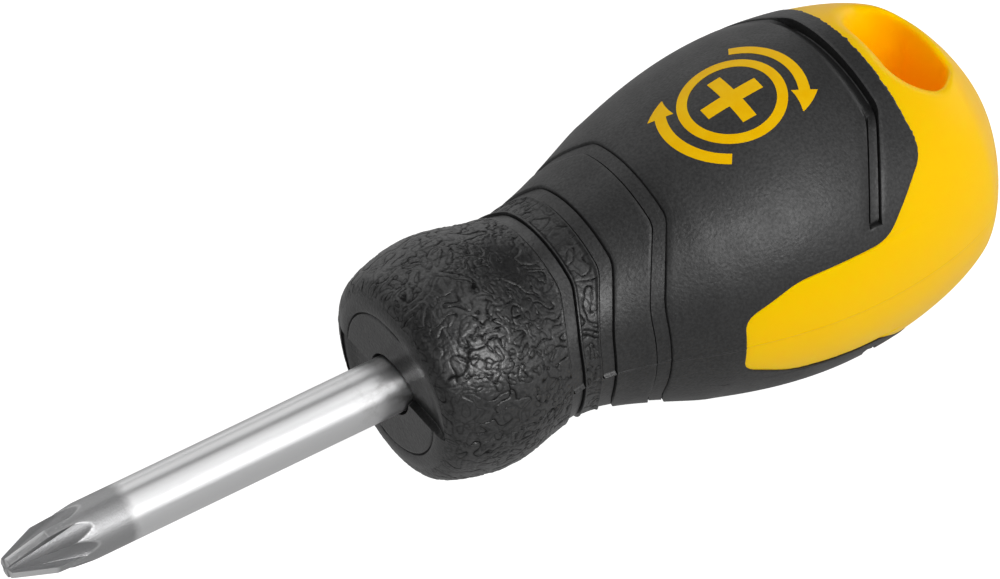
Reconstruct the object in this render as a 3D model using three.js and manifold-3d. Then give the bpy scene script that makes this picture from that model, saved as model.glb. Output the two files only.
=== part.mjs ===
// Stubby cross-recess screwdriver: a round steel blade moulded into a hard core,
// with a soft grip moulded over the core.
//
// Frame: millimetres. The origin is the centre of the blade's blunt end.
// +X runs along the blade axis from the tip to the butt.
// +Z points out of the middle of the upper grip panel.
// The mould's parting plane is the XY plane.

import * as THREE from 'three';
import { mergeVertices } from 'three/addons/utils/BufferGeometryUtils.js';
import Module from 'manifold-3d';

const wasm = await Module();
wasm.setup();

// ---------------------------------------------------------------- dimensions

const ROUND_SEGMENTS = 40;
const MOULDING_GAP = 0.3;

// Blade
const BLADE_RADIUS = 3;
const BLADE_EXPOSED = 44.5;
const BLADE_END = 93.5;
const TIP_END_RADIUS = 1.1;
const TIP_KNEE = { x: 4.3, radius: 2.75 };
const TIP_ROOT = 8.9;
const WING_THICKNESS = 0.9;
const FLUTE_DEPTH_RADIUS = 0.8;
const WING_ANGLE = THREE.MathUtils.degToRad(9);
const BLADE_END_CHAMFER = 0.8;
const TANG_EAR = { x: 79.5, length: 7, span: 9.6, thickness: 2.4 };

// Handle outline, as axial stations and radii
const COLLAR_FACE = { x: BLADE_EXPOSED, radius: 8 };
const COLLAR_RIM = { x: 45.4, radius: 10.6 };
const BULB_CREST = { x: 52.3, radius: 12.4 };
const NECK = { x: 61.5, radius: 11 };
const FLANK = { x: 75.5, radius: 15.2 };
const PALM_CREST = { x: 91, radius: 17.85 };
const SHOULDER = { x: 107.5, radius: 14.4 };
const BUTT_END = 115.1;

// Core and grip
const CORE_FRONT = 47.5;
const GRIP_THICKNESS = 2.6;
const GRIP_INNER_END = 103.5;
const GROOVE_WIDTH = 1.6;
const GROOVE_DEPTH = 0.45;

// Bare core at the butt and along each side, as heights above the parting plane
const FINGER_FRONT = { x: 76.6, height: 3.2 };
const FINGER_SIDE = { start: 82.5, end: 92.8, height: 6.75 };
const PANEL_REAR = { x: 99.7, height: 12.3 };

// Each groove crosses the crown of the handle, then slants forward down the side
const GROOVES = [
  { crownX: 61.4, crownHalf: 6, sideX: 59.6, sideHalf: 10.3, reach: 20 },
  { crownX: 65.9, crownHalf: 6.3, sideX: 63.2, sideHalf: 10.6, reach: 20 },
  { crownX: 72.3, crownHalf: 6.2, sideX: 68.75, sideHalf: 11.2, reach: 20 },
  { crownX: 96.8, crownHalf: 7.6, sideX: 91.8, sideHalf: 15.6, reach: 15.6 },
];

// Hanging hole through the butt, along Z
const HOLE = { front: 102.7, rear: 108.9, halfWidth: 5.7, cornerRadius: 2.8 };
const HOLE_FLARE = { height: 11, size: 1.6, thickness: 2.6 };

const REACH = 60;

// ------------------------------------------------------------------- helpers

// Turns a closed three.js geometry into a solid that can be cut and joined.
function solid(geometry) {
  const bare = geometry.clone();
  bare.deleteAttribute('normal');
  bare.deleteAttribute('uv');
  const merged = mergeVertices(bare, 1e-5);
  const triVerts = [];
  for (let i = 0; i < merged.index.count; i += 3) {
    const [a, b, c] = [0, 1, 2].map((k) => merged.index.getX(i + k));
    if (a !== b && b !== c && c !== a) {
      triVerts.push(a, b, c);
    }
  }
  return new wasm.Manifold(new wasm.Mesh({
    numProp: 3,
    vertProperties: merged.attributes.position.array,
    triVerts: new Uint32Array(triVerts),
  }));
}

function geometryOf(body) {
  const mesh = body.getMesh();
  const geometry = new THREE.BufferGeometry();
  geometry.setAttribute('position', new THREE.BufferAttribute(mesh.vertProperties, 3));
  geometry.setIndex(new THREE.BufferAttribute(mesh.triVerts, 1));
  geometry.computeVertexNormals();
  return geometry;
}

function union(bodies) {
  return bodies.reduce((whole, body) => whole.add(body));
}

// Revolves an outline of [x, radius] points about the X axis. It starts and ends on the axis.
function revolve(outline) {
  const points = outline.map(([x, radius]) => new THREE.Vector2(radius, x));
  const geometry = new THREE.LatheGeometry(points, ROUND_SEGMENTS);
  geometry.rotateZ(-Math.PI / 2);
  return solid(geometry);
}

function shapeFrom(points) {
  return new THREE.Shape(points.map(([u, v]) => new THREE.Vector2(u, v)));
}

// Extrudes a shape drawn in the XY plane through the whole handle, along Z.
function prismAlongZ(shape) {
  const geometry = new THREE.ExtrudeGeometry(shape, { depth: REACH, bevelEnabled: false, curveSegments: 6 });
  geometry.translate(0, 0, -REACH / 2);
  return solid(geometry);
}

// Extrudes a shape drawn in the XZ plane through the whole handle, along Y.
function prismAlongY(shape) {
  const geometry = new THREE.ExtrudeGeometry(shape, { depth: REACH, bevelEnabled: false });
  geometry.translate(0, 0, -REACH / 2);
  geometry.rotateX(Math.PI / 2);
  return solid(geometry);
}

function cylinder(radius, start, end) {
  return revolve([[start, 0], [start, radius], [end, radius], [end, 0]]);
}

function boxAt(start, length, width, height) {
  const geometry = new THREE.BoxGeometry(length, width, height);
  geometry.translate(start + length / 2, 0, 0);
  return geometry;
}

// ------------------------------------------------------------- handle outline

function span(from, leave, arrive, to, steps) {
  const corners = [from, leave, arrive, to].map((p) => new THREE.Vector2(p.x, p.radius));
  return new THREE.CubicBezierCurve(...corners).getPoints(steps);
}

// The handle's outline from the collar rim to the butt, smooth at every station.
function handleOutline() {
  const stations = [
    span(COLLAR_RIM, { x: 45.8, radius: 11.1 }, { x: 49.2, radius: BULB_CREST.radius }, BULB_CREST, 4),
    span(BULB_CREST, { x: 55.8, radius: BULB_CREST.radius }, { x: 57.7, radius: NECK.radius }, NECK, 5),
    span(NECK, { x: 66, radius: NECK.radius }, { x: 73.25, radius: 14.6 }, FLANK, 5),
    span(FLANK, { x: 77.6, radius: 15.7 }, { x: 83.7, radius: PALM_CREST.radius }, PALM_CREST, 4),
    span(PALM_CREST, { x: 97, radius: PALM_CREST.radius }, { x: 103.6, radius: 16.6 }, SHOULDER, 4),
    span(SHOULDER, { x: 110, radius: 13 }, { x: BUTT_END, radius: 4.8 }, { x: BUTT_END, radius: 0 }, 5),
  ];
  const points = stations.flatMap((part, i) => (i === 0 ? part : part.slice(1)));
  return points.map((p) => [p.x, p.y]);
}

const OUTLINE = handleOutline();

// The whole handle as one solid of revolution, before it is split into core and grip.
function handleBody() {
  return revolve([[COLLAR_FACE.x, 0], [COLLAR_FACE.x, COLLAR_FACE.radius], ...OUTLINE]);
}

// The handle's outline sunk by a depth, between two axial stations.
function sunkBody(depth, start, end) {
  const inside = OUTLINE.filter(([x]) => x > start && x < end).map(([x, radius]) => [x, radius - depth]);
  const first = inside[0][1];
  const last = inside[inside.length - 1][1];
  return revolve([[start, 0], [start, first], ...inside, [end, last], [end, 0]]);
}

// The part of the handle where the core is bare, grown by a margin.
function bareCorePrism(margin) {
  const upper = [
    [FINGER_FRONT.x - margin, FINGER_FRONT.height + margin],
    [FINGER_SIDE.start, FINGER_SIDE.height + margin],
    [FINGER_SIDE.end, FINGER_SIDE.height + margin],
    [PANEL_REAR.x - margin, PANEL_REAR.height],
    [PANEL_REAR.x - margin, REACH],
    [BUTT_END + REACH, REACH],
  ];
  const lower = upper.map(([x, z]) => [x, -z]).reverse();
  return prismAlongY(shapeFrom([...upper, ...lower]));
}

// ---------------------------------------------------------------------- blade

// Four wings with an eight-sided taper between them, so each pair of flutes has a rib between.
function bladeTip() {
  const apothem = Math.cos(Math.PI / 8);
  const taper = new THREE.CylinderGeometry(
    FLUTE_DEPTH_RADIUS / apothem,
    BLADE_RADIUS / apothem,
    TIP_ROOT,
    8,
  );
  taper.rotateZ(Math.PI / 2);
  taper.translate(TIP_ROOT / 2, 0, 0);
  const shank = boxAt(TIP_ROOT, BLADE_END, 4 * BLADE_RADIUS, 4 * BLADE_RADIUS);
  const wings = [
    boxAt(-1, TIP_ROOT + 2, WING_THICKNESS, 4 * BLADE_RADIUS),
    boxAt(-1, TIP_ROOT + 2, 4 * BLADE_RADIUS, WING_THICKNESS),
  ];
  return union([taper, shank, ...wings].map(solid)).rotate([THREE.MathUtils.radToDeg(WING_ANGLE), 0, 0]);
}

function bladeEar(margin) {
  return solid(boxAt(
    TANG_EAR.x - margin,
    TANG_EAR.length + 2 * margin,
    TANG_EAR.span + 2 * margin,
    TANG_EAR.thickness + 2 * margin,
  ));
}

function bladeBody() {
  const round = revolve([
    [0, 0],
    [0, TIP_END_RADIUS],
    [TIP_KNEE.x, TIP_KNEE.radius],
    [TIP_ROOT, BLADE_RADIUS],
    [BLADE_END - BLADE_END_CHAMFER, BLADE_RADIUS],
    [BLADE_END, BLADE_RADIUS - BLADE_END_CHAMFER],
    [BLADE_END, 0],
  ]);
  return round.intersect(bladeTip()).add(bladeEar(0));
}

// The space the blade fills inside the handle, grown by the gap.
function bladeSocket() {
  const bore = cylinder(BLADE_RADIUS + MOULDING_GAP, COLLAR_FACE.x - 1, BLADE_END + MOULDING_GAP);
  return bore.add(bladeEar(MOULDING_GAP));
}

// ----------------------------------------------------------------------- core

function holeShape() {
  const { front, rear, halfWidth, cornerRadius: r } = HOLE;
  const shape = new THREE.Shape();
  shape.moveTo(front + r, -halfWidth);
  shape.lineTo(rear - r, -halfWidth);
  shape.absarc(rear - r, -halfWidth + r, r, -Math.PI / 2, 0);
  shape.lineTo(rear, halfWidth - r);
  shape.absarc(rear - r, halfWidth - r, r, 0, Math.PI / 2);
  shape.lineTo(front + r, halfWidth);
  shape.absarc(front + r, halfWidth - r, r, Math.PI / 2, Math.PI);
  shape.lineTo(front, -halfWidth + r);
  shape.absarc(front + r, -halfWidth + r, r, Math.PI, 1.5 * Math.PI);
  return shape;
}

// Widens one mouth of the hole. The bevel is the sloping wall.
function holeFlare() {
  const geometry = new THREE.ExtrudeGeometry(holeShape(), {
    depth: REACH / 4,
    bevelThickness: HOLE_FLARE.thickness,
    bevelSize: HOLE_FLARE.size,
    bevelSegments: 1,
    curveSegments: 6,
  });
  geometry.translate(0, 0, HOLE_FLARE.height + HOLE_FLARE.thickness);
  return solid(geometry);
}

function hangingHole() {
  const mouth = holeFlare();
  return union([prismAlongZ(holeShape()), mouth, mouth.rotate([180, 0, 0])]);
}

function coreBody() {
  const bare = handleBody().intersect(bareCorePrism(0));
  const stem = sunkBody(GRIP_THICKNESS, CORE_FRONT, GRIP_INNER_END);
  return bare.add(stem).subtract(hangingHole()).subtract(bladeSocket());
}

// ----------------------------------------------------------------------- grip

function grooveBand({ crownX, crownHalf, sideX, sideHalf, reach }) {
  const side = [[sideX, sideHalf], [sideX, reach]].slice(0, reach > sideHalf ? 2 : 1);
  const half = [[crownX, crownHalf], ...side];
  const centre = [...half.map(([x, y]) => [x, -y]).reverse(), ...half];
  const front = centre.map(([x, y]) => [x - GROOVE_WIDTH / 2, y]);
  const rear = centre.map(([x, y]) => [x + GROOVE_WIDTH / 2, y]);
  return prismAlongZ(shapeFrom([...front, ...rear.reverse()]));
}

function gripBody() {
  const grooveFloor = sunkBody(GROOVE_DEPTH, CORE_FRONT, GRIP_INNER_END);
  const grooves = union(GROOVES.map(grooveBand)).subtract(grooveFloor);
  const inside = sunkBody(GRIP_THICKNESS - MOULDING_GAP, CORE_FRONT - MOULDING_GAP, GRIP_INNER_END);
  return handleBody()
    .subtract(bareCorePrism(MOULDING_GAP))
    .subtract(inside)
    .subtract(bladeSocket())
    .subtract(grooves);
}

// ------------------------------------------------------------------- assembly

const MATERIALS = {
  steel: new THREE.MeshStandardMaterial({ color: 0xc9cacc, roughness: 0.32, metalness: 1 }),
  plastic: new THREE.MeshStandardMaterial({ color: 0xfccb00, roughness: 0.38, metalness: 0 }),
  rubber: new THREE.MeshStandardMaterial({ color: 0x3c3c3c, roughness: 0.62, metalness: 0 }),
};

function piece(name, body, material) {
  const mesh = new THREE.Mesh(geometryOf(body), material);
  mesh.name = name;
  return mesh;
}

const screwdriver = new THREE.Group();
screwdriver.add(
  piece('blade', bladeBody(), MATERIALS.steel),
  piece('handle_core', coreBody(), MATERIALS.plastic),
  piece('grip', gripBody(), MATERIALS.rubber),
);

export default screwdriver;
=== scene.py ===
"""Stubby cross-recess screwdriver: the fine surfaces, materials, floor, light and camera.

Shapes are worked out in millimetres in the row frame, +X from the tip to the butt, and
turned into metres when their meshes are made. The angle phi runs round the blade axis:
0 is +Z, the middle of the upper panel, and 90 degrees is -Y, on the mould's parting plane.
"""

import math

import bpy
import numpy as np
from mathutils import Matrix, Vector


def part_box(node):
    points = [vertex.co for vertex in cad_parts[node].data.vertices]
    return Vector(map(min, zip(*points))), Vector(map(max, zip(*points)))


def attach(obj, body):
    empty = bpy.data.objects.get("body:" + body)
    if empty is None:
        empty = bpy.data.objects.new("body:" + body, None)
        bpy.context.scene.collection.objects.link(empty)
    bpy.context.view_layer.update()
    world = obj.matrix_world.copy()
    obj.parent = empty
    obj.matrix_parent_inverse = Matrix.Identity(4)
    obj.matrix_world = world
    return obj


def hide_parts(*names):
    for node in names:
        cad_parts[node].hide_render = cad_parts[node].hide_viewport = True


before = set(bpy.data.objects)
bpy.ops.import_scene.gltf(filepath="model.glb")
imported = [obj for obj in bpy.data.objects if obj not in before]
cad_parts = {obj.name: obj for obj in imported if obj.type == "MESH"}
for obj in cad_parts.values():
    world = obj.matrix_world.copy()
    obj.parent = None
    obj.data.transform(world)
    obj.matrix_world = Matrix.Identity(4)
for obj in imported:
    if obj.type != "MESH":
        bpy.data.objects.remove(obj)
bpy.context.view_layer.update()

MM = 0.001
RANDOM_SEED = 7


# ------------------------------------------------------------------ sizes, in millimetres

def cad_corners(node):
    """The low and the high corner of a CAD node's box."""
    return [np.array(corner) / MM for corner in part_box(node)]


COLLAR_X = cad_corners("grip")[0][0]
CORE_FRONT = cad_corners("handle_core")[0][0]
BUTT_X, PALM_RADIUS = cad_corners("handle_core")[1][:2]
BLADE_END, _, BLADE_RADIUS = cad_corners("blade")[1]

GRIP_THICKNESS = 2.6
CORE_STEP = 0.1
STEM_END = 103.5
BORE_RADIUS = BLADE_RADIUS + 0.06
BORE_CHAMFER = 0.25

# The collar's face. The line round each flat pad is given as (depth, width).
FACE_RADIUS = 9.3
PAD_RADIUS = 7.6
PAD_LINE = (0.22, 0.08)
RAMP_DEPTH = 0.85
RAMP_REACH = 10.4

GROOVE_WIDTH = 1.6
GROOVE_DEPTH = 0.38
GROOVE_LIP = 0.07
FRONT_CUT = 0.25
SLOT_END = 15.6
SLOT_ANGLE = math.radians(62)
SLOT_HALF = 1.5

# The mould's parting line along the grip, and the fins it leaves in two grooves, as (height, width).
PARTING_RADIUS = 14
PARTING_RIDGE = (0.09, 0.12)
FIN_RIDGE = (0.32, 0.3)

# The tip. Its outline bends at the knee, given as (x, radius), and meets the round blade at the root.
WING_ANGLE = math.radians(9)
WING_THICKNESS = 0.9
TIP_END_RADIUS = 1.1
TIP_KNEE = (4.3, 2.75)
TIP_ROOT = 8.9
FLUTE_START = 0.8
FLUTE_TOOL = 2.0
FLUTE_ANGLE = math.radians(25)
UNCUT = 10.0
EDGE_ROUND = 0.06
EDGE_LENGTH = 0.08
BLAST_LENGTH = 13.0
BLAST_FADE = 1.4


# --------------------------------------------------------------------------- outline

def bezier(corners, steps=240):
    t = np.linspace(0, 1, steps)[:, None]
    a, b, c, d = (np.array(p, float) for p in corners)
    return (1 - t) ** 3 * a + 3 * (1 - t) ** 2 * t * b + 3 * (1 - t) * t ** 2 * c + t ** 3 * d


def handle_outline():
    """The handle's outline as dense rows of (x, radius), from the collar rim to the butt."""
    rim, bulb, neck = (45.4, 10.6), (52.3, 12.4), (61.5, 11.0)
    flank, palm, shoulder = (75.5, 15.2), (91, PALM_RADIUS), (107.5, 14.4)
    spans = [
        (rim, (45.8, 11.1), (49.2, 12.4), bulb),
        (bulb, (55.8, 12.4), (57.7, 11.0), neck),
        (neck, (66, 11.0), (73.25, 14.6), flank),
        (flank, (77.6, 15.7), (83.7, PALM_RADIUS), palm),
        (palm, (97, PALM_RADIUS), (103.6, 16.6), shoulder),
        (shoulder, (110, 13.0), (BUTT_X, 4.8), (BUTT_X, 0)),
    ]
    return np.vstack([bezier(span) for span in spans])


OUTLINE = handle_outline()


def radius_at(x):
    return np.interp(x, OUTLINE[:, 0], OUTLINE[:, 1])


def rounded_path(points, radius, steps=12):
    """A polyline whose inner corners are rounded by quadratic curves."""
    points = [np.array(p, float) for p in points]
    path = [points[0]]
    for before, corner, after in zip(points, points[1:], points[2:]):
        into, out = corner - before, after - corner
        reach_in = min(radius, 0.45 * np.linalg.norm(into))
        reach_out = min(radius, 0.45 * np.linalg.norm(out))
        start = corner - into / np.linalg.norm(into) * reach_in
        end = corner + out / np.linalg.norm(out) * reach_out
        for t in np.linspace(0, 1, steps):
            path.append((1 - t) ** 2 * start + 2 * (1 - t) * t * corner + t ** 2 * end)
    path.append(points[-1])
    return np.array(path)


# ------------------------------------------------------------------- paths on the grip

def crown_distance(phi):
    """Angle from the nearer panel's middle, in radians, from 0 to a quarter turn."""
    folded = np.abs((phi + np.pi) % (2 * np.pi) - np.pi)
    return np.minimum(folded, np.pi - folded)


def groove_path(phi, crown_x, crown_half, side_x, side_half):
    """Where a groove's middle crosses the angle phi. Seen from above it is a line with two bends."""
    corners = rounded_path(
        [(0, crown_x), (crown_half, crown_x), (side_half, side_x), (side_half + 4, side_x)], 0.7
    )
    x = np.full_like(phi, crown_x)
    for _ in range(12):
        across = radius_at(x) * np.sin(crown_distance(phi))
        x = 0.5 * x + 0.5 * np.interp(across, corners[:, 0], corners[:, 1])
    return x


def seam_path(phi):
    """Where the grip ends and the bare core begins, at the angle phi."""
    scale = math.radians(1) * PALM_RADIUS
    corners = [(0, 99.7), (45.5, 99.7), (67.0, 92.9), (68.1, 82.5), (76.8, 76.65), (90, 76.65)]
    path = rounded_path([(angle * scale, x) for angle, x in corners], 1.6)
    return np.interp(np.degrees(crown_distance(phi)) * scale, path[:, 0], path[:, 1])


def flash(phi):
    """How far the torn edge of the rubber strays across each crown, with a few small tabs."""
    random = np.random.default_rng(RANDOM_SEED + 20)
    edge = np.zeros_like(phi)
    for count in range(24, 220, 3):
        edge += random.normal() * np.cos(count * phi + random.uniform(0, 2 * np.pi)) / count ** 0.4
    edge *= 0.045
    tab = 0.085
    edge = edge + 0.225 * np.maximum(edge - tab, 0) / tab
    return edge * (1 - smoothstep(40, 62, np.degrees(crown_distance(phi))))


# Each groove's place on the crown and half its flat run, then its place and distance at the side.
GROOVES = {
    "neck_front": (61.4, 6.0, 59.6, 10.3),
    "neck_rear": (65.9, 6.3, 63.2, 10.6),
    "palm_front": (72.3, 6.2, 68.75, 11.2),
    "palm_rear": (96.8, 7.6, 91.8, SLOT_END),
}

# Each cross groove's floor depth, and the width and depth of the cut at the foot of its rear wall.
GROOVE_FLOORS = {
    "neck_front": (0.84 * GROOVE_DEPTH, 0.09, 0.24),
    "neck_rear": (0.74 * GROOVE_DEPTH, 0.1, 0.2),
    "palm_front": (0.6 * GROOVE_DEPTH, 0.08, 0.14),
}


# ------------------------------------------------------------------------ random waves

def wave_field(points, shortest, longest, count, seed):
    """A smooth random field of plane waves between two wavelengths, and its gradient."""
    random = np.random.default_rng(seed)
    direction = random.normal(size=(count, 3))
    direction /= np.linalg.norm(direction, axis=1)[:, None]
    length = random.uniform(shortest, longest, count)
    phase = random.uniform(0, 2 * np.pi, count)
    field = np.zeros(len(points))
    gradient = np.zeros((len(points), 3))
    for k in range(count):
        wave = direction[k] * 2 * np.pi / length[k]
        angle = points @ wave + phase[k]
        field += np.cos(angle)
        gradient -= np.sin(angle)[:, None] * wave
    scale = math.sqrt(2 / count)
    return field * scale, gradient * scale


def smoothstep(low, high, value):
    t = np.clip((value - low) / (high - low), 0, 1)
    return t * t * (3 - 2 * t)


PEBBLE_SINK = 0.05
FAR_FROM_LINE = 0.6


def edge_distance(field, gradient, level):
    """Rough distance in millimetres from the line where the field is at a level."""
    return (field - level) / np.maximum(np.linalg.norm(gradient, axis=1), 0.9)


def ridge(distance, width):
    """A round-topped bump of height 1 over the line where the distance is zero."""
    return np.exp(-(distance / width) ** 2)


def pebbles(points):
    """Height of the pebbled skin, and the distance to the nearest cut line round an island.

    Large flat islands and smaller ones on top are cut out of two random fields. Two slower
    fields say how bold the outlines are and how much of the small detail there is.
    """
    warp = np.stack([wave_field(points, 2.0, 4.5, 10, RANDOM_SEED + k)[0] for k in range(3)], axis=1)
    bent = points + 0.2 * warp
    large = wave_field(bent, 1.35, 2.7, 70, RANDOM_SEED + 10)
    small = wave_field(bent, 0.7, 1.25, 70, RANDOM_SEED + 11)
    share = smoothstep(-0.6, 0.6, wave_field(points, 5, 10, 8, RANDOM_SEED + 12)[0])
    bold = smoothstep(-0.5, 0.9, wave_field(points, 2.2, 5, 12, RANDOM_SEED + 14)[0])
    outer = edge_distance(*large, 0.2)
    inner = edge_distance(*small, 0.95)
    height = 0.034 * smoothstep(-0.08, 0.13, outer)
    height -= (0.03 + 0.04 * bold) * ridge(outer + 0.05, 0.07)
    height += (0.35 + 0.65 * share) * 0.03 * smoothstep(-0.08, 0.08, inner)
    height -= (0.35 + 0.65 * share) * 0.035 * ridge(inner + 0.06, 0.07)
    height += (0.002 + 0.007 * share) * wave_field(points, 0.36, 0.7, 40, RANDOM_SEED + 13)[0]
    line = np.abs(outer + 0.05) + 0.04 * (1 - bold)
    line = np.minimum(line, np.abs(inner + 0.05) + 0.015 + 0.035 * (1 - share))
    return height - PEBBLE_SINK, np.minimum(line, FAR_FROM_LINE)


# ------------------------------------------------------------------------------ meshes

def mesh_object(name, vertices, quads, triangles=()):
    """Makes a smooth-shaded object from millimetre vertices."""
    mesh = bpy.data.meshes.new(name)
    vertices = np.asarray(vertices, float) * MM
    quads = np.asarray(quads, np.int64).reshape(-1, 4)
    triangles = np.asarray(triangles, np.int64).reshape(-1, 3)
    loops = np.concatenate([quads.ravel(), triangles.ravel()])
    sizes = np.concatenate([np.full(len(quads), 4), np.full(len(triangles), 3)])
    starts = np.concatenate([[0], np.cumsum(sizes)[:-1]])
    mesh.vertices.add(len(vertices))
    mesh.vertices.foreach_set("co", vertices.astype(np.float32).ravel())
    mesh.loops.add(len(loops))
    mesh.loops.foreach_set("vertex_index", loops.astype(np.int32))
    mesh.polygons.add(len(sizes))
    mesh.polygons.foreach_set("loop_start", starts.astype(np.int32))
    mesh.update(calc_edges=True)
    mesh.validate()
    mesh.polygons.foreach_set("use_smooth", np.ones(len(mesh.polygons), bool))
    result = bpy.data.objects.new(name, mesh)
    bpy.context.scene.collection.objects.link(result)
    return result


def ring_quads(rows, columns, close_rows=False):
    """Quads of a grid whose columns close on themselves, and whose rows may."""
    row = np.arange(rows if close_rows else rows - 1)[:, None]
    column = np.arange(columns)[None, :]
    after = (row + 1) % rows
    beside = (column + 1) % columns
    corners = [
        row * columns + column, row * columns + beside,
        after * columns + beside, after * columns + column,
    ]
    return np.stack([np.broadcast_to(c, (len(row), columns)) for c in corners], axis=-1).reshape(-1, 4)


def around(x, radius, phi):
    """Points at axial place x, distance radius from the axis and angle phi."""
    return np.stack([x, -radius * np.sin(phi), radius * np.cos(phi)], axis=-1)


def surface_nets(field, origin, step):
    """Quads of the surface where a sampled field changes sign, negative inside."""
    inside = field < 0
    shape = np.array(field.shape) - 1
    corner_slices = [
        tuple(slice(d, n + d) for d, n in zip(offset, shape))
        for offset in np.ndindex(2, 2, 2)
    ]
    count = sum(inside[s].astype(np.int8) for s in corner_slices)
    active = (count > 0) & (count < 8)
    number = np.full(active.shape, -1, np.int64)
    number[active] = np.arange(active.sum())
    cells = np.argwhere(active)
    total = np.zeros((len(cells), 3))
    hits = np.zeros(len(cells))
    for axis in range(3):
        others = [k for k in range(3) if k != axis]
        for side in np.ndindex(2, 2):
            offset = np.zeros(3, int)
            offset[others] = side
            low = cells + offset
            high = low.copy()
            high[:, axis] += 1
            a, b = field[tuple(low.T)], field[tuple(high.T)]
            crossing = (a < 0) != (b < 0)
            share = np.where(crossing, a / np.where(crossing, a - b, 1), 0)
            point = low.astype(float)
            point[:, axis] += share
            total += point * crossing[:, None]
            hits += crossing
    vertices = origin + step * total / hits[:, None]
    quads = []
    for axis in range(3):
        first, second = [k for k in range(3) if k != axis]
        low = [slice(None)] * 3
        high = [slice(None)] * 3
        low[axis], high[axis] = slice(0, -1), slice(1, None)
        changes = inside[tuple(low)] != inside[tuple(high)]
        edges = np.argwhere(changes)
        keep = (edges[:, first] > 0) & (edges[:, second] > 0)
        keep &= (edges[:, first] < shape[first]) & (edges[:, second] < shape[second])
        edges = edges[keep]
        ring = []
        for du, dv in ((1, 1), (0, 1), (0, 0), (1, 0)):
            cell = edges.copy()
            cell[:, first] -= du
            cell[:, second] -= dv
            ring.append(number[tuple(cell.T)])
        ring = np.stack(ring, axis=1)
        outward = inside[tuple(edges.T)] if axis != 1 else ~inside[tuple(edges.T)]
        ring[~outward] = ring[~outward][:, ::-1]
        quads.append(ring)
    return vertices, np.vstack(quads)


# -------------------------------------------------------------------------------- grip

def grip_columns():
    """Angles of the grip's columns, closer together at the seam, the slots and the parting."""
    base = np.radians(np.arange(0, 360, 0.46))
    extra = []
    for middle in (90, 270):
        extra += list(middle + np.array([-0.9, -0.7, -0.1, 0.1, 0.7, 0.9]))
        for side in (-1, 1):
            extra += list(middle + side * np.linspace(21.7, 23.3, 9))
            extra += list(middle + side * (29.1 + np.array([-0.25, -0.15, 0.15, 0.25])))
    return np.unique(np.round(np.concatenate([base, np.radians(extra)]), 6))


def groove_rows(middle, floor, cut_width, cut_depth):
    """A groove with square walls and a given floor, cut deeper along the foot of each wall."""
    half = GROOVE_WIDTH / 2
    front_foot, rear_foot = floor + FRONT_CUT, floor + cut_depth
    stations = [
        (-half - GROOVE_LIP, 0), (-half - 0.01, 0.04),
        (-half + 0.02, front_foot), (-half + 0.14, front_foot), (-half + 0.17, floor),
        (half - cut_width - 0.06, floor), (half - cut_width - 0.03, rear_foot), (half - 0.04, rear_foot),
        (half - 0.01, 0.25), (half, 0.04), (half + GROOVE_LIP, 0),
    ]
    return [(middle + offset, drop) for offset, drop in stations]


def rear_slot_rows(middle, phi):
    """The rear groove: a ramp down to a steep wall on the crown, then a shallow slot.

    Both lists hold (offset from the groove's middle, drop), and the groove turns from one
    to the other on its way round. The slot ends in a wall with a cut along its foot.
    """
    crown = [
        (-SLOT_HALF, 0), (-1.25, 0.03), (-0.95, 0.14), (-0.55, 0.4), (-0.1, 0.75), (0.3, 1.05),
        (0.52, 1.2), (0.66, 1.15), (0.7, 0.5), (0.75, 0.03), (0.82, -0.02),
    ]
    side = [
        (-0.82, 0), (-0.76, 0.05), (-0.74, 0.7), (-0.6, 0.7), (-0.54, 0.12), (0, 0.2),
        (0.46, 0.12), (0.53, 0.75), (0.72, 0.75), (0.75, 0.05), (0.81, 0),
    ]
    wall_foot = 0.745
    across = radius_at(middle) * np.sin(crown_distance(phi))
    near_crown = crown_distance(phi) <= SLOT_ANGLE
    depth = near_crown * (1 - smoothstep(SLOT_END - 0.06, SLOT_END + 0.06, across))
    share = smoothstep(6.6, 9.4, across)
    foot = near_crown * 0.6 * ridge(across - SLOT_END + 0.14, 0.1)
    rows = []
    for (offset_a, drop_a), (offset_b, drop_b) in zip(crown, side):
        offset = offset_a + (offset_b - offset_a) * share
        drop = (drop_a + (drop_b - drop_a) * share) * depth
        if abs(offset_b) < wall_foot:
            drop = np.maximum(drop, foot)
        rows.append((middle + offset, drop))
    return rows


def between(start, end, count):
    """Rows strictly between two stations."""
    return [start + (end - start) * k / (count + 1) for k in range(1, count + 1)]


def face_rows(phi):
    """The collar's front: two flat pads, and between them two ramps that sink as they turn."""
    turn = np.degrees(phi) % 180
    ramp = (np.clip(turn, 0, 90) / 90) ** 1.3 * (1 - smoothstep(90, 90.9, turn))
    pad = 1 - smoothstep(0.02, 0.1, ramp)
    line_depth, line_width = PAD_LINE
    bend = 8.1
    radii = np.concatenate([
        np.linspace(BORE_RADIUS + BORE_CHAMFER, PAD_RADIUS - 0.15, 24),
        PAD_RADIUS + np.array([-0.1, -0.04, 0, 0.06, 0.12, 0.25]),
        np.linspace(bend, FACE_RADIUS, 4),
    ])
    rows = []
    for radius in radii:
        outward = (radius - BORE_RADIUS) / (RAMP_REACH - BORE_RADIUS)
        sink = RAMP_DEPTH * ramp * (1 - smoothstep(0.5, 1.05, outward))
        corner = 0.28 * max(0, (radius - bend) / (FACE_RADIUS - bend)) ** 2
        line = line_depth * pad * ridge(radius - PAD_RADIUS, line_width)
        rows.append((COLLAR_X + sink + corner + line, np.full_like(phi, radius)))
    return rows


NOSE = rounded_path(
    [(44.78, FACE_RADIUS), (45.0, 10.0), (45.45, 10.68), (46.1, 11.1), (47.5, 11.62)], 0.6, steps=8
)


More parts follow.
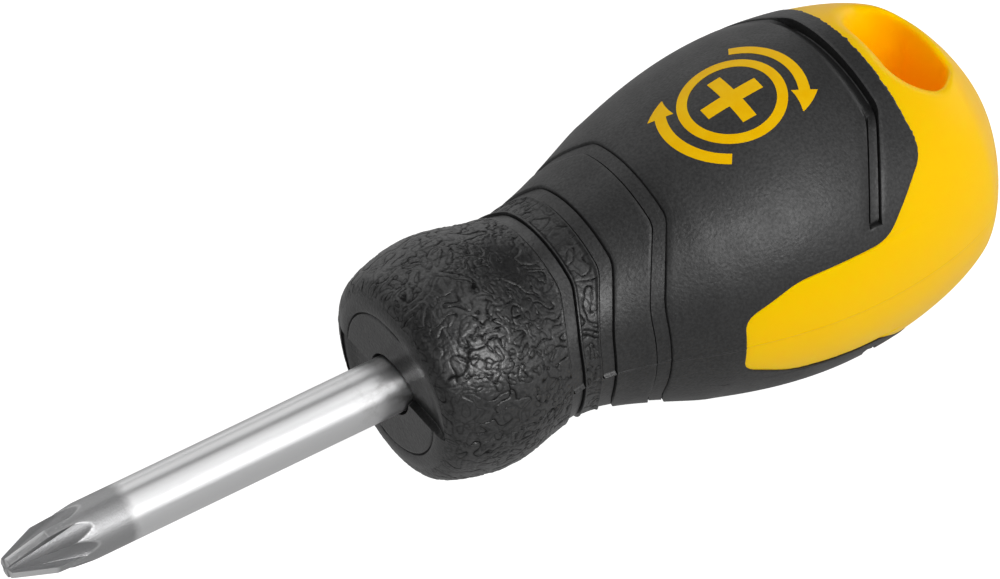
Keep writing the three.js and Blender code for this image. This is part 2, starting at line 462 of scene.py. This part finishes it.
def grip_rows(phi):
    """Every row of the grip's closed skin, as (x, radius) at each column.

    The rows run out of the bore, across the face, back along the outside to the seam, and
    forward again inside. Also returns where the bulb, the neck band and the lip lie in them.
    """
    rows = []

    def level(x, radius):
        rows.append((np.full_like(phi, x), np.full_like(phi, radius)))

    def outer(stations):
        for x, drop in stations:
            rows.append((x, radius_at(x) - drop))

    def plain(start, end, count):
        outer([(x, 0) for x in between(start, end, count)])

    level(CORE_FRONT - 0.4, BORE_RADIUS)
    level(COLLAR_X + 1.2, BORE_RADIUS)
    level(COLLAR_X + 0.75, BORE_RADIUS + 0.03)
    rows += face_rows(phi)

    paths = {name: groove_path(phi, *sizes) for name, sizes in GROOVES.items()}
    seam = seam_path(phi) + flash(phi)
    slot = np.minimum(paths["palm_rear"], seam - 2.6)
    half = GROOVE_WIDTH / 2 + GROOVE_LIP

    bulb_start = len(rows)
    length = np.concatenate([[0], np.cumsum(np.hypot(*np.diff(NOSE, axis=0).T))])
    for along in np.arange(0, length[-1], 0.11):
        level(*(np.interp(along, length, NOSE[:, k]) for k in (0, 1)))
    nose_end = np.full_like(phi, NOSE[-1, 0])
    plain(nose_end - 0.05, paths["neck_front"] - half, 122)
    bulb_end = len(rows)
    outer(groove_rows(paths["neck_front"], *GROOVE_FLOORS["neck_front"]))
    band_start = len(rows)
    plain(paths["neck_front"] + half, paths["neck_rear"] - half, 28)
    band_end = len(rows)
    outer(groove_rows(paths["neck_rear"], *GROOVE_FLOORS["neck_rear"]))
    plain(paths["neck_rear"] + half, paths["palm_front"] - half, 12)
    outer(groove_rows(paths["palm_front"], *GROOVE_FLOORS["palm_front"]))
    plain(paths["palm_front"] + half, slot - SLOT_HALF, 34)
    outer(rear_slot_rows(slot, phi))
    plain(slot + half, seam - 0.5, 4)
    lip_start = len(rows)
    lip = [(0.5, 0), (0.3, 0), (0.15, 0.015), (0.06, 0.045), (0.015, 0.085), (0, 0.12)]
    outer([(seam - back, drop) for back, drop in lip])

    under = [(0.4, CORE_STEP + 0.04), (1.0, CORE_STEP + 0.04), (1.05, 1.0), (1.1, GRIP_THICKNESS)]
    outer([(seam - back, drop) for back, drop in under])
    inner_start = seam - under[-1][0]
    for x in between(inner_start, np.full_like(phi, CORE_FRONT + 1), 14):
        rows.append((x, radius_at(x) - GRIP_THICKNESS))
    level(CORE_FRONT - 0.1, radius_at(CORE_FRONT) - GRIP_THICKNESS)
    level(CORE_FRONT - 0.1, BORE_RADIUS + 2)
    return rows, slice(bulb_start, bulb_end), slice(band_start, band_end), lip_start


def fade(share, width):
    """Rises from 0 at either end of a run to 1 inside it."""
    return smoothstep(0, width, share) * smoothstep(0, width, 1 - share)


def make_grip():
    phi = grip_columns()
    rows, bulb, band, lip_start = grip_rows(phi)
    x = np.array([row[0] for row in rows])
    radius = np.array([row[1] for row in rows])
    angles = np.broadcast_to(phi, x.shape)

    relief = np.zeros_like(x)
    line = np.full_like(x, FAR_FROM_LINE)
    for part in (bulb, band):
        points = around(x[part], radius[part], angles[part]).reshape(-1, 3)
        height, nearest = pebbles(points)
        relief[part] = height.reshape(x[part].shape)
        line[part] = nearest.reshape(x[part].shape)
    to_groove = np.linspace(1, 0, bulb.stop - bulb.start)[:, None]
    relief[bulb] *= 0.8 * smoothstep(44.7, 45.0, x[bulb]) + 0.2 * smoothstep(46.5, 50.5, x[bulb])
    relief[bulb] *= smoothstep(0, 0.015, to_groove)
    over_band = np.linspace(0, 1, band.stop - band.start)[:, None]
    relief[band] *= fade(over_band, 0.06)
    relief[band] -= 0.1 * fade(over_band, 0.1)
    radius = radius + relief

    outside = slice(bulb.start - 8, lip_start + 4)
    off_parting = (crown_distance(phi) - np.pi / 2) * PARTING_RADIUS
    ridge_height, ridge_width = PARTING_RIDGE
    radius[outside] += ridge_height * ridge(off_parting, ridge_width)
    fin_height, fin_width = FIN_RIDGE
    for name in ("neck_front", "neck_rear"):
        middle = groove_path(phi, *GROOVES[name])
        fin = smoothstep(0.85, 0.6, np.abs(x - middle)) * ridge(off_parting, fin_width)
        radius[outside] += fin_height * fin[outside]

    vertices = around(x, radius, angles).reshape(-1, 3)
    quads = ring_quads(len(rows), len(phi), close_rows=True)
    skin = mesh_object("grip_skin", vertices, quads)
    skin.data.set_sharp_from_angle(angle=math.radians(48))
    cut = skin.data.attributes.new("cut_line", "FLOAT", "POINT")
    cut.data.foreach_set("value", line.astype(np.float32).ravel())
    return skin


# -------------------------------------------------------------------------------- core

HOLE_X = 105.7
HOLE_HALF = (3.0, 5.6)
HOLE_CORNER = 2.8
HOLE_BLEND = 0.9
HOLE_FLARE = (1.7, 0.3)
FLARE_DEPTH = 4.5
SEAM_TUCK = 0.75
STEP_BLEND = 0.6
CORE_CELL = 0.3


def smooth_max(a, b, blend):
    mix = np.maximum(blend - np.abs(a - b), 0) / blend
    return np.maximum(a, b) + mix * mix * blend / 4


def revolved_distance(x, y, z, sink):
    """Roughly the distance out of the handle's surface sunk by a depth."""
    outline = np.maximum(OUTLINE[:, 1] - sink, 0) ** 2
    squared = np.interp(x, OUTLINE[:, 0], outline)
    ahead = np.interp(x + 0.05, OUTLINE[:, 0], outline)
    behind = np.interp(x - 0.05, OUTLINE[:, 0], outline)
    slope = (ahead - behind) / 0.1
    ring = y * y + z * z
    inside = (ring - squared) / np.sqrt(slope ** 2 + 4 * ring + 1e-6)
    return np.maximum(inside, x - BUTT_X)


def core_distance(points):
    """Roughly the distance out of the core: bare body and hidden stem, less hole and bore."""
    x, y, z = points.T
    body = revolved_distance(x, y, z, CORE_STEP)
    phi = np.arctan2(-y, z)
    radius = np.maximum(np.sqrt(y * y + z * z), 3)
    slant = (seam_path(phi + 0.01) - seam_path(phi - 0.01)) / (0.02 * radius)
    step = (seam_path(phi) - SEAM_TUCK - x) / np.sqrt(1 + slant ** 2)
    bare = smooth_max(body, step, STEP_BLEND)
    stem = np.maximum(revolved_distance(x, y, z, GRIP_THICKNESS + 0.03), CORE_FRONT - x)
    stem = np.maximum(stem, x - STEM_END)
    solid = -smooth_max(-bare, -stem, STEP_BLEND)
    dx = np.abs(x - HOLE_X) - (HOLE_HALF[0] - HOLE_CORNER)
    dy = np.abs(y) - (HOLE_HALF[1] - HOLE_CORNER)
    outside = np.sqrt(np.maximum(dx, 0) ** 2 + np.maximum(dy, 0) ** 2)
    hole = outside + np.minimum(np.maximum(dx, dy), 0) - HOLE_CORNER
    flare = HOLE_FLARE[0] + (HOLE_FLARE[1] - HOLE_FLARE[0]) * smoothstep(105.0, 108.5, x)
    hole = hole - flare * np.clip(1 + body / FLARE_DEPTH, 0, 1) ** 2
    solid = smooth_max(solid, -hole, HOLE_BLEND)
    bore = np.maximum(np.sqrt(y * y + z * z) - BLADE_RADIUS - 0.03, x - BLADE_END - 0.1)
    return np.maximum(solid, -bore)


def settle(points, distance, rounds=4, reach=0.2, probe=0.02):
    """Moves points onto the surface where distance is zero."""
    for _ in range(rounds):
        value = distance(points)
        gradient = np.empty_like(points)
        for axis in range(3):
            shift = np.zeros(3)
            shift[axis] = probe
            gradient[:, axis] = (distance(points + shift) - distance(points - shift)) / (2 * probe)
        length = np.maximum((gradient ** 2).sum(axis=1), 0.25)
        move = -value[:, None] * gradient / length[:, None]
        size = np.linalg.norm(move, axis=1)[:, None]
        points = points + move * np.minimum(1, reach / np.maximum(size, 1e-9))
    return points


def make_core():
    low = np.array([CORE_FRONT, -PALM_RADIUS, -PALM_RADIUS]) - 1
    high = np.array([BUTT_X, PALM_RADIUS, PALM_RADIUS]) + 1
    counts = np.ceil((high - low) / CORE_CELL).astype(int)
    axes = [low[k] + CORE_CELL * np.arange(counts[k]) for k in range(3)]
    grid = np.stack(np.meshgrid(*axes, indexing="ij"), axis=-1).reshape(-1, 3)
    field = core_distance(grid).reshape(counts)
    vertices, quads = surface_nets(field, low, CORE_CELL)
    vertices = settle(vertices, core_distance)
    return mesh_object("core_moulding", vertices, quads)


# ------------------------------------------------------------------------------- blade

def tip_radius(x):
    return np.interp(x, [0, TIP_KNEE[0], TIP_ROOT], [TIP_END_RADIUS, TIP_KNEE[1], BLADE_RADIUS])


def flute_radius(x, angle):
    """Radius of the ground flute beside a wing, at an angle from the wing's middle."""
    depth = FLUTE_START + (BLADE_RADIUS - FLUTE_START) * x / TIP_ROOT
    reach = (depth + FLUTE_TOOL) * np.sin(angle - FLUTE_ANGLE)
    bow = np.sqrt(np.maximum(FLUTE_TOOL ** 2 - reach ** 2, 0))
    cut = (depth + FLUTE_TOOL) * np.cos(angle - FLUTE_ANGLE) - bow
    return np.where(np.abs(reach) < FLUTE_TOOL, cut, UNCUT)


def tip_section(x, outer):
    """One eighth of the tip's section, from a wing's middle to a rib's, as (angles, radii)."""
    half = WING_THICKNESS / 2
    edge = math.asin(min(1, half / outer))
    rib = math.pi / 4
    scan = np.linspace(edge, rib, 600)
    crossing = np.nonzero(half / np.sin(scan) < flute_radius(x, scan))[0]
    root = scan[crossing[0]] if len(crossing) else edge + 0.01
    root = min(max(root, edge + 0.01), rib - 0.05)
    stops = np.concatenate([
        np.linspace(0, edge, 5),
        edge + (root - edge) * np.array([0.02, 0.12, 0.3, 0.5, 0.7, 0.88, 0.98, 1.0]),
        root + (rib - root) * np.linspace(0.05, 1, 22),
    ])
    wall = half / np.maximum(np.sin(stops), 1e-6)
    return stops, np.minimum(outer, np.maximum(flute_radius(x, stops), wall))


def make_blade():
    """One closed skin: wings and flutes at the tip, then the round shank and the tang.

    Three values are kept at each vertex for the steel: the flute edges, lighter for wear and as a
    painted highlight, the bright ground ends of the wings, and the flutes, which get painted shade.
    """
    tip_x = np.concatenate([[0.0, 0.03, EDGE_LENGTH], np.arange(0.14, TIP_ROOT + 0.2, 0.06)])
    shank_x = np.concatenate([
        np.linspace(TIP_ROOT + 0.3, BLAST_LENGTH + 3, 40),
        np.linspace(BLAST_LENGTH + 3.5, COLLAR_X + 2, 60),
        np.linspace(COLLAR_X + 4, BLADE_END - 1, 20),
    ])
    rows, edge_wear_and_highlight, land, flute = [], [], [], []
    for x in tip_x:
        outer = tip_radius(x) - EDGE_ROUND * max(0, 1 - x / EDGE_LENGTH) ** 2
        stops, radii = tip_section(x, outer)
        stops = np.concatenate([stops, math.pi / 2 - stops[-2:0:-1]])
        radii = np.concatenate([radii, radii[-2:0:-1]])
        turn = np.concatenate([stops + k * math.pi / 2 for k in range(4)])
        rows.append((x, turn + WING_ANGLE, np.tile(radii, 4)))
        cut = flute_radius(x, np.minimum(stops, math.pi / 2 - stops))
        before_knee = smoothstep(TIP_KNEE[0] + 0.3, TIP_KNEE[0] - 0.3, x)
        # Flute edges: lighter in the steel, partly for wear and partly as a painted highlight.
        edge_wear_and_highlight.append(np.tile(ridge(outer - cut, 0.05), 4))
        land.append(np.tile((radii > outer - 0.002) * before_knee, 4))
        # The flutes: darker in the steel as painted shade.
        flute.append(np.tile(radii < outer - 0.03, 4).astype(float))
    turn = rows[-1][1]
    for x in shank_x:
        rows.append((x, turn, np.full_like(turn, BLADE_RADIUS)))
    rows.append((BLADE_END - 0.3, turn, np.full_like(turn, BLADE_RADIUS - 0.2)))
    rows.append((BLADE_END, turn, np.full_like(turn, BLADE_RADIUS - 0.8)))

    columns = len(turn)
    vertices = np.vstack([around(np.full(columns, x), radius, angle) for x, angle, radius in rows])
    quads = ring_quads(len(rows), columns)
    ends = np.array([[0, 0, 0], [BLADE_END, 0, 0]])
    front, back = len(vertices), len(vertices) + 1
    ring = np.arange(columns)
    last = (len(rows) - 1) * columns
    triangles = np.vstack([
        np.stack([np.full(columns, front), (ring + 1) % columns, ring], axis=1),
        np.stack([np.full(columns, back), last + ring, last + (ring + 1) % columns], axis=1),
    ])
    blade = mesh_object("blade_steel", np.vstack([vertices, ends]), quads, triangles)
    blade.data.set_sharp_from_angle(angle=math.radians(50))
    for name, values in (("edge_wear_and_highlight", edge_wear_and_highlight), ("land", land), ("flute", flute)):
        values = np.concatenate(values)
        values = np.concatenate([values, np.zeros(len(blade.data.vertices) - len(values))])
        layer = blade.data.attributes.new(name, "FLOAT", "POINT")
        layer.data.foreach_set("value", values.astype(np.float32))
    return blade


# -------------------------------------------------------------------------------- mark

MARK_X = 85.1
MARK_LIFT = 0.035
MARK_SINK = 0.03
STRIP_COLUMNS = 6


def mark_sheet(u, v, keep=None):
    """A thin printed patch over a grid of places along (u) and across (v) the crown."""
    rows, columns = u.shape
    index = np.arange(rows * columns).reshape(rows, columns)
    faces = np.stack([index[:-1, :-1], index[:-1, 1:], index[1:, 1:], index[1:, :-1]], axis=-1)
    faces = faces.reshape(-1, 4) if keep is None else faces[keep]
    edges = np.vstack([faces[:, [k, (k + 1) % 4]] for k in range(4)])
    known = {tuple(edge) for edge in edges}
    rim = np.array([edge for edge in edges if (edge[1], edge[0]) not in known])
    used, place = np.unique(faces, return_inverse=True)
    faces = place.reshape(-1, 4)
    rim = np.searchsorted(used, rim)
    x = MARK_X + u.ravel()[used]
    turn = v.ravel()[used] / PALM_RADIUS
    top = around(x, radius_at(x) + MARK_LIFT, turn)
    bottom = around(x, radius_at(x) - MARK_SINK, turn)
    count = len(used)
    walls = np.stack([rim[:, 1], rim[:, 0], rim[:, 0] + count, rim[:, 1] + count], axis=1)
    return np.vstack([top, bottom]), np.vstack([faces, faces[:, ::-1] + count, walls])[:, ::-1]


def mark_strip(radius, angle, half_widths):
    """A strip along an arc whose half width may change on the way."""
    across = np.linspace(-1, 1, STRIP_COLUMNS)[None, :]
    reach = radius + across * np.asarray(half_widths)[:, None]
    turn = np.radians(np.asarray(angle))[:, None]
    return reach * np.cos(turn), reach * np.sin(turn)


def ring_sheet(inner, outer, steps=120):
    """A closed ring, made as a strip whose last row meets its first."""
    angle = np.linspace(0, 360, steps + 1)
    u, v = mark_strip((inner + outer) / 2, angle, np.full(steps + 1, (outer - inner) / 2))
    points, faces = mark_sheet(u, v)
    half = len(points) // 2
    first_row = np.arange(STRIP_COLUMNS)
    merge = np.arange(len(points))
    merge[half - STRIP_COLUMNS:half] = first_row
    merge[-STRIP_COLUMNS:] = half + first_row
    faces = merge[faces]
    closed = np.sort(faces, axis=1)
    seen, first, count = np.unique(closed, axis=0, return_index=True, return_counts=True)
    keep = first[(count == 1) & (np.diff(seen, axis=1) > 0).all(axis=1)]
    used, place = np.unique(faces[keep], return_inverse=True)
    return points[used], place.reshape(-1, 4)


def cross_sheet(reach, half):
    """A plus sign, as a square grid without its four corners."""
    line = np.concatenate([
        np.linspace(-reach, -half, 9)[:-1],
        np.linspace(-half, half, 6)[:-1],
        np.linspace(half, reach, 9),
    ])
    u, v = np.meshgrid(line, line, indexing="ij")
    middle = (line[:-1] + line[1:]) / 2
    arm = np.abs(middle) < half
    return mark_sheet(u, v, arm[:, None] | arm[None, :])


def arrow_sheet(radius, start, sweep, half, head):
    """An arc with a pointed end."""
    shaft = np.linspace(start, start + sweep, 44)
    length = math.degrees(1.9 * head / radius)
    point = np.linspace(start + sweep, start + sweep + length, 10)
    widths = np.concatenate([np.full_like(shaft, half), np.linspace(head, 0.05, len(point))])
    return mark_sheet(*mark_strip(radius, np.concatenate([shaft, point]), widths))


def make_mark():
    """A generic turning sign: a cross recess in a ring, and an arrow on each side."""
    sheets = [ring_sheet(4.5, 5.6), cross_sheet(3.25, 0.78)]
    sheets += [arrow_sheet(7.3, start, 84, 0.58, 1.35) for start in (-58, 122)]
    vertices, quads = [], []
    count = 0
    for points, faces in sheets:
        vertices.append(points)
        quads.append(faces + count)
        count += len(points)
    mark = mesh_object("turning_mark", np.vstack(vertices), np.vstack(quads))
    mark.data.set_sharp_from_angle(angle=math.radians(40))
    return mark


# --------------------------------------------------------------------------- materials

YELLOW_SHEEN = (1.0, 0.7, 0.0)


class Nodes:
    """A short way to write a material's node tree."""

    def __init__(self, name):
        self.material = bpy.data.materials.new(name)
        self.material.use_nodes = True
        self.tree = self.material.node_tree
        self.surface = self.tree.nodes["Principled BSDF"]
        self.place = self.add("ShaderNodeTexCoord").outputs["Object"]

    def add(self, kind, **settings):
        node = self.tree.nodes.new(kind)
        for key, value in settings.items():
            setattr(node, key, value)
        return node

    def join(self, source, target):
        self.tree.links.new(source, target)

    def give(self, socket, value):
        """Sets a socket to a number or a colour, or joins another node's output to it."""
        if isinstance(value, (int, float)):
            socket.default_value = value
        elif isinstance(value, tuple):
            socket.default_value = (*value, 1)
        else:
            self.join(value, socket)

    def attribute(self, name):
        return self.add("ShaderNodeAttribute", attribute_name=name).outputs["Fac"]

    def noise(self, scale, detail=3, roughness=0.55, stretch=None):
        """Noise in the object's own place, which is in metres."""
        node = self.add("ShaderNodeTexNoise")
        node.inputs["Scale"].default_value = scale
        node.inputs["Detail"].default_value = detail
        node.inputs["Roughness"].default_value = roughness
        place = self.place
        if stretch:
            mapping = self.add("ShaderNodeMapping")
            mapping.inputs["Scale"].default_value = stretch
            self.join(place, mapping.inputs["Vector"])
            place = mapping.outputs["Vector"]
        self.join(place, node.inputs["Vector"])
        return node.outputs["Fac"]

    def remap(self, value, low, high, to_low, to_high, smooth=False):
        """Maps low..high to to_low..to_high, held at both ends."""
        node = self.add("ShaderNodeMapRange")
        if smooth:
            node.interpolation_type = "SMOOTHSTEP"
        self.give(node.inputs["From Min"], low)
        self.give(node.inputs["From Max"], high)
        self.give(node.inputs["To Min"], to_low)
        self.give(node.inputs["To Max"], to_high)
        self.join(value, node.inputs["Value"])
        return node.outputs["Result"]

    def spread(self, noise, to_low, to_high):
        """Spreads a noise, which seldom leaves 0.3 to 0.7, over a range."""
        return self.remap(noise, 0.3, 0.7, to_low, to_high)

    def math(self, operation, *values):
        node = self.add("ShaderNodeMath", operation=operation)
        for socket, value in zip(node.inputs, values):
            self.give(socket, value)
        return node.outputs["Value"]

    def mix_color(self, share, first, second):
        node = self.add("ShaderNodeMix", data_type="RGBA")
        self.give(node.inputs[0], share)
        self.give(node.inputs[6], first)
        self.give(node.inputs[7], second)
        return node.outputs[2]

    def mix_float(self, share, first, second):
        node = self.add("ShaderNodeMix", data_type="FLOAT")
        self.give(node.inputs[0], share)
        self.give(node.inputs[2], first)
        self.give(node.inputs[3], second)
        return node.outputs[0]

    def bump(self, height, distance, strength=1.0, normal=None):
        node = self.add("ShaderNodeBump")
        node.inputs["Strength"].default_value = strength
        node.inputs["Distance"].default_value = distance
        self.join(height, node.inputs["Height"])
        if normal is not None:
            self.join(normal, node.inputs["Normal"])
        return node.outputs["Normal"]

    def axis_place(self):
        node = self.add("ShaderNodeSeparateXYZ")
        self.join(self.place, node.inputs["Vector"])
        return node.outputs

    def set(self, **values):
        """Sets inputs of the surface, with underscores for the spaces in their names."""
        for key, value in values.items():
            self.give(self.surface.inputs[key.replace("_", " ")], value)


def rubber_material():
    """Soft black rubber: painted shade darkens the cut lines, glossier on the bulb than on the palm."""
    n = Nodes("soft_black_rubber")
    line_distance = n.attribute("cut_line")
    # Painted shade: near the cut lines the colour goes almost black and the shine drops.
    line = n.remap(line_distance, 0.01, 0.07, 0.9, 0, smooth=True)
    along = n.axis_place()["X"]
    palm = n.remap(along, 60 * MM, 66 * MM, 0, 1)

    shade = n.spread(n.noise(90, 3), 0, 1)
    skin = n.mix_color(shade, (0.0095, 0.0095, 0.0097), (0.0135, 0.0135, 0.0137))
    # Painted shade in the cut lines, over the rubber's own tone.
    n.set(Base_Color=n.mix_color(line, skin, (0.002, 0.002, 0.002)))
    patches = n.spread(n.noise(260, 3), -0.04, 0.04)
    n.set(Roughness=n.math("ADD", n.remap(palm, 0, 1, 0.35, 0.47), patches))

    shine = n.remap(line, 0, 1, n.remap(palm, 0, 1, 0.88, 0.64), 0.1)
    beside_line = n.remap(line_distance, 0.06, 0.2, 0.62, 1.0, smooth=True)
    off_face = n.remap(along, (COLLAR_X + 0.5) * MM, (COLLAR_X + 1.7) * MM, 0.76, 1)
    for share in (n.spread(n.noise(3300, 1), 0.8, 1.2), beside_line, off_face):
        shine = n.math("MULTIPLY", shine, share)
    n.set(Specular_IOR_Level=shine)

    speckle = n.noise(3700, 1, 0.5)
    leather = n.math("ADD", speckle, n.math("MULTIPLY", n.noise(1900, 1), 0.7))
    grain = n.bump(leather, 0.026 * MM)
    groove = n.remap(line_distance, 0.0, 0.08, 0, 1, smooth=True)
    n.set(Normal=n.bump(groove, 0.03 * MM, 0.8, normal=grain))
    return n.material


def plastic_material():
    """Yellow plastic that light enters a little, with a faint painted orange glow and a faint mould line
    on its parting plane.
    """
    n = Nodes("yellow_plastic")
    shade = n.spread(n.noise(60, 2), 0, 1)
    n.set(Base_Color=n.mix_color(shade, (1.0, 0.585, 0.0), (1.0, 0.61, 0.0)))
    n.set(Roughness=n.spread(n.noise(300, 3), 0.36, 0.44))
    n.set(Specular_Tint=YELLOW_SHEEN)
    # Painted glow: the plastic emits a faint orange light of its own.
    n.set(Emission_Color=(1.0, 0.36, 0.0), Emission_Strength=0.10)
    n.set(Subsurface_Weight=0.35)
    n.surface.inputs["Subsurface Radius"].default_value = (4.5 * MM, 1.3 * MM, 0.1 * MM)
    n.surface.inputs["Subsurface Scale"].default_value = 1.0
    height = n.math("ABSOLUTE", n.axis_place()["Z"])
    mould_line = n.remap(height, 0, 0.13 * MM, 1, 0, smooth=True)
    moulded = n.bump(mould_line, 0.06 * MM, 0.7)
    n.set(Normal=n.bump(n.noise(3800, 2), 0.02 * MM, 0.35, normal=moulded))
    return n.material


def steel_material():
    """Satin chrome, mottled darker towards the collar, and a blasted tip whose ground lands and flute
    edges are lighter, the edges partly for wear and partly as a painted highlight, and whose flutes get
    painted shade.
    """
    n = Nodes("chromed_steel")
    n.set(Metallic=1.0)
    x = n.axis_place()["X"]
    wander = n.math("ADD", x, n.math("MULTIPLY", n.noise(700, 2), 1.2 * MM))
    blasted = n.remap(wander, BLAST_LENGTH * MM, (BLAST_LENGTH + BLAST_FADE) * MM, 1, 0, smooth=True)
    drawn = n.noise(900, 2, 0.5, stretch=(0.06, 1, 1))
    satin = n.noise(3600, 3, 0.7)
    grit = n.noise(5200, 2, 0.7)

    # A mottled darkening that grows towards the collar.
    collar_mottle = n.remap(n.noise(420, 4, 0.7), 0.52, 0.7, 0, 1)
    near_collar = n.remap(x, (COLLAR_X - 7) * MM, COLLAR_X * MM, 0, 0.8)
    collar_darkening = n.math("MULTIPLY", collar_mottle, near_collar)
    chrome = n.mix_color(collar_darkening, (0.77, 0.77, 0.775), (0.4, 0.39, 0.38))
    # Ground lands and flute edges made lighter; the edges partly for wear, partly as a painted
    # highlight.
    bright = n.math("MAXIMUM", n.math("MULTIPLY", n.attribute("edge_wear_and_highlight"), 0.4), n.attribute("land"))
    # Painted shade: the flutes are darker than the rest of the blasted tip.
    tip = n.mix_color(n.attribute("flute"), (0.40, 0.40, 0.405), (0.30, 0.30, 0.305))
    tip = n.mix_color(bright, tip, (0.72, 0.72, 0.725))
    n.set(Base_Color=n.mix_color(blasted, chrome, tip))

    n.set(Roughness=n.mix_float(blasted, n.spread(drawn, 0.28, 0.36), n.spread(grit, 0.34, 0.5)))
    fine = n.bump(drawn, 0.01 * MM, 0.25)
    fine = n.bump(satin, 0.01 * MM, 0.6, normal=fine)
    n.set(Normal=n.bump(n.math("MULTIPLY", grit, blasted), 0.04 * MM, 0.8, normal=fine))
    return n.material


def ink_material():
    """The printed mark's ink, slightly uneven."""
    n = Nodes("printed_ink")
    shade = n.remap(n.noise(700, 4), 0.35, 0.65, 0, 1)
    n.set(Base_Color=n.mix_color(shade, (0.97, 0.53, 0.0), (0.99, 0.58, 0.004)))
    n.set(Roughness=0.45)
    n.set(Specular_Tint=YELLOW_SHEEN)
    n.set(Normal=n.bump(n.noise(4200, 2), 0.02 * MM, 0.4))
    return n.material


# ------------------------------------------------------------------------------ pieces

def finish_piece(piece, material, node=None):
    """Gives a piece its material and body, and hides the CAD node that it stands for."""
    piece.data.materials.append(material)
    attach(piece, "root")
    if node:
        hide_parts(node)


finish_piece(make_blade(), steel_material(), "blade")
finish_piece(make_core(), plastic_material(), "handle_core")
finish_piece(make_grip(), rubber_material(), "grip")
finish_piece(make_mark(), ink_material())


# ----------------------------------------------------------------- floor, light, camera

FLOOR_HALF = 3.0
FLOOR_BOUNCE = (0.3, 0.3, 0.3)
FLOOR_SEEN = (0.45, 0.45, 0.45)
FLOOR_GLOW = (0.26, 0.93)
WORLD_GLOW = 0.04

MIDDLE = Vector((59.5 * MM, 0, 0))
LIGHT_DISTANCE = 1.2

# Each soft light's azimuth and elevation in degrees, width and height in metres, and watts.
LIGHTS = {
    "front": (2, 38, 0.4, 0.65, 6.8),
    "front_right": (38, 16, 0.9, 0.5, 2.1),
    "right_high": (42, 50, 0.7, 0.7, 0.8),
    "above": (60, 78, 0.9, 0.9, 2.4),
    "behind": (180, 44, 1.5, 0.7, 3.2),
    "behind_left": (226, 18, 0.6, 0.6, 1.0),
    "behind_low": (170, 10, 1.4, 0.4, 1.6),
    "left": (283, 28, 0.5, 0.5, 0.8),
    "left_front": (320, 25, 0.5, 0.5, 1.2),
    "right_low": (95, 10, 0.9, 0.4, 2.1),
}

CAMERA_AZIMUTH = -34.43
CAMERA_ELEVATION = 45.8
CAMERA_ROLL = math.radians(0.52)
CAMERA_DISTANCE = 0.974
CAMERA_AIM = (-1.58 * MM, 3.38 * MM)
SENSOR_WIDTH = 36
LENS = 353.808


def toward(azimuth, elevation):
    """A unit vector out from the object at two angles in degrees. Azimuth 0 is -Y, and 90 is +X."""
    turn, lift = math.radians(azimuth), math.radians(elevation)
    return Vector((math.sin(turn) * math.cos(lift), -math.cos(turn) * math.cos(lift), math.sin(lift)))


def make_floor():
    """A pale floor. The camera sees it nearly white, and it throws little light back."""
    corners = [(-FLOOR_HALF, -FLOOR_HALF), (FLOOR_HALF, -FLOOR_HALF)]
    corners += [(FLOOR_HALF, FLOOR_HALF), (-FLOOR_HALF, FLOOR_HALF)]
    z = -(PALM_RADIUS + 0.2) * MM
    mesh = bpy.data.meshes.new("floor")
    mesh.from_pydata([(x, y, z) for x, y in corners], [], [(0, 1, 2, 3)])
    floor = bpy.data.objects.new("floor", mesh)
    bpy.context.scene.collection.objects.link(floor)
    n = Nodes("pale_floor")
    seen = n.add("ShaderNodeLightPath").outputs["Is Camera Ray"]
    n.set(Base_Color=n.mix_color(seen, FLOOR_BOUNCE, FLOOR_SEEN), Roughness=0.9, Specular_IOR_Level=0.1)
    n.set(Emission_Color=(1.0, 1.0, 1.0))
    n.set(Emission_Strength=n.remap(seen, 0, 1, FLOOR_GLOW[0], FLOOR_GLOW[1]))
    mesh.materials.append(n.material)


def soft_light(name, azimuth, elevation, width, height, power):
    """A soft box at an angle round the object, facing it and hidden from the camera."""
    back = toward(azimuth, elevation)
    data = bpy.data.lights.new(name, "AREA")
    data.shape = "RECTANGLE"
    data.size, data.size_y = width, height
    data.energy = power
    light = bpy.data.objects.new(name, data)
    bpy.context.scene.collection.objects.link(light)
    light.location = MIDDLE + back * LIGHT_DISTANCE
    light.rotation_mode = "QUATERNION"
    light.rotation_quaternion = back.to_track_quat("Z", "Y")
    light.visible_camera = False


def make_world():
    """A white surround that lights the object only faintly."""
    world = bpy.data.worlds.new("studio")
    bpy.context.scene.world = world
    world.use_nodes = True
    tree = world.node_tree
    background = tree.nodes["Background"]
    background.inputs["Color"].default_value = (1, 1, 1, 1)
    seen = tree.nodes.new("ShaderNodeLightPath").outputs["Is Camera Ray"]
    strength = tree.nodes.new("ShaderNodeMapRange")
    strength.inputs["To Min"].default_value = WORLD_GLOW
    strength.inputs["To Max"].default_value = 1.0
    tree.links.new(seen, strength.inputs["Value"])
    tree.links.new(strength.outputs["Result"], background.inputs["Strength"])


def make_camera():
    """A long lens, from the front left and above, at the tip's end."""
    back = toward(CAMERA_AZIMUTH, CAMERA_ELEVATION)
    right = toward(CAMERA_AZIMUTH + 90, 0)
    up = back.cross(right)
    place = MIDDLE + back * CAMERA_DISTANCE
    aim_right = math.cos(CAMERA_ROLL) * right + math.sin(CAMERA_ROLL) * up
    aim_up = -math.sin(CAMERA_ROLL) * right + math.cos(CAMERA_ROLL) * up
    target = MIDDLE + aim_right * CAMERA_AIM[0] + aim_up * CAMERA_AIM[1]
    lens_axis = (place - target).normalized()
    side = aim_up.cross(lens_axis).normalized()
    turn = Matrix((side, lens_axis.cross(side), lens_axis)).transposed()
    data = bpy.data.cameras.new("camera")
    data.sensor_width = SENSOR_WIDTH
    data.lens = LENS
    data.clip_start, data.clip_end = 0.05, 20
    camera = bpy.data.objects.new("camera", data)
    bpy.context.scene.collection.objects.link(camera)
    camera.matrix_world = Matrix.Translation(place) @ turn.to_4x4()
    bpy.context.scene.camera = camera


make_floor()
make_world()
for light_name, sizes in LIGHTS.items():
    soft_light(light_name, *sizes)
make_camera()
bpy.context.scene.view_settings.view_transform = "Standard"
